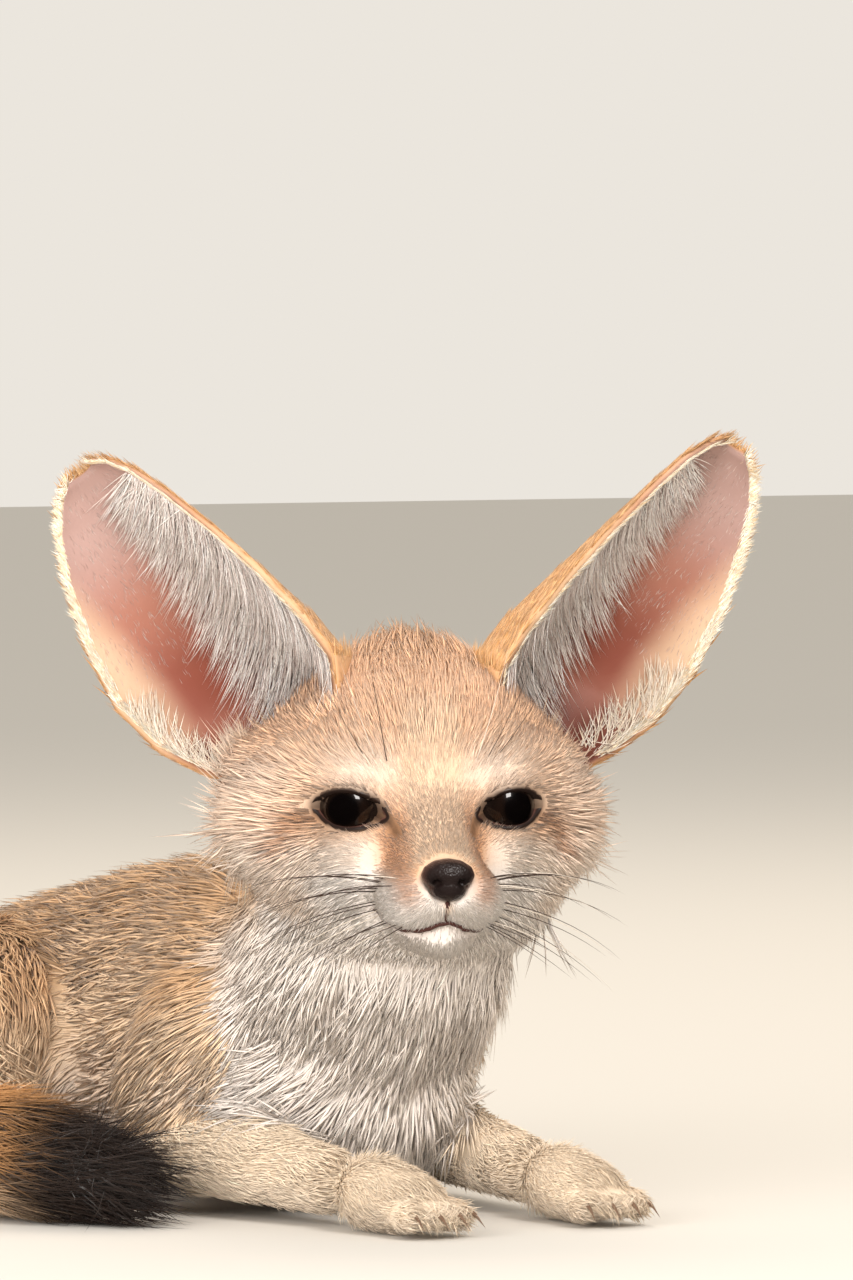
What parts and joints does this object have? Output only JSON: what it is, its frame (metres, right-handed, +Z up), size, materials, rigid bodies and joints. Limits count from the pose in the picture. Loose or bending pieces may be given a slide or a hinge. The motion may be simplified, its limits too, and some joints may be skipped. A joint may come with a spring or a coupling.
{
  "type": "fennec fox",
  "caption": "A still, life-size fennec fox lying on its belly with its head raised and turned to its right, very large open ears and the bushy tail curled along its side",
  "frame": {"origin": "on the floor under the middle of the animal's box", "axes": "+Z up, chest towards -Y, the fox's left towards +X"},
  "size_m": [0.1974, 0.2938, 0.1972],
  "materials": {
    "fur": "short soft fur, peach tan above and cream below",
    "tail_fur": "long bushy fur, tan with a near-black tip",
    "ear_skin": "thin bare skin with silky pale fringe hairs",
    "nose_leather": "moist grained nose skin",
    "eye": "wet clear eye over a near-black brown iris",
    "claw_horn": "smooth horn"
  },
  "bodies": {
    "root": {"ear_left": "ear_skin", "ear_right": "ear_skin", "eye_left": "eye", "eye_right": "eye", "fore_claw_left_1": "claw_horn", "fore_claw_left_2": "claw_horn", "fore_claw_left_3": "claw_horn", "fore_claw_left_4": "claw_horn", "fore_claw_right_1": "claw_horn", "fore_claw_right_2": "claw_horn", "fore_claw_right_3": "claw_horn", "fore_claw_right_4": "claw_horn", "forearm_left": "fur", "forearm_right": "fur", "forepaw_left": "fur", "forepaw_right": "fur", "head": "fur", "hind_claw_left_1": "claw_horn", "hind_claw_left_2": "claw_horn", "hind_claw_left_3": "claw_horn", "hind_claw_left_4": "claw_horn", "hind_claw_right_1": "claw_horn", "hind_claw_right_2": "claw_horn", "hind_claw_right_3": "claw_horn", "hind_claw_right_4": "claw_horn", "hind_foot_left": "fur", "hind_foot_right": "fur", "neck": "fur", "nose": "nose_leather", "shank_left": "fur", "shank_right": "fur", "tail_bend": "tail_fur", "tail_middle": "tail_fur", "tail_root": "tail_fur", "tail_tip": "tail_fur", "thigh_left": "fur", "thigh_right": "fur", "torso": "fur", "upper_arm_left": "fur", "upper_arm_right": "fur"}
  },
  "joints": []
}
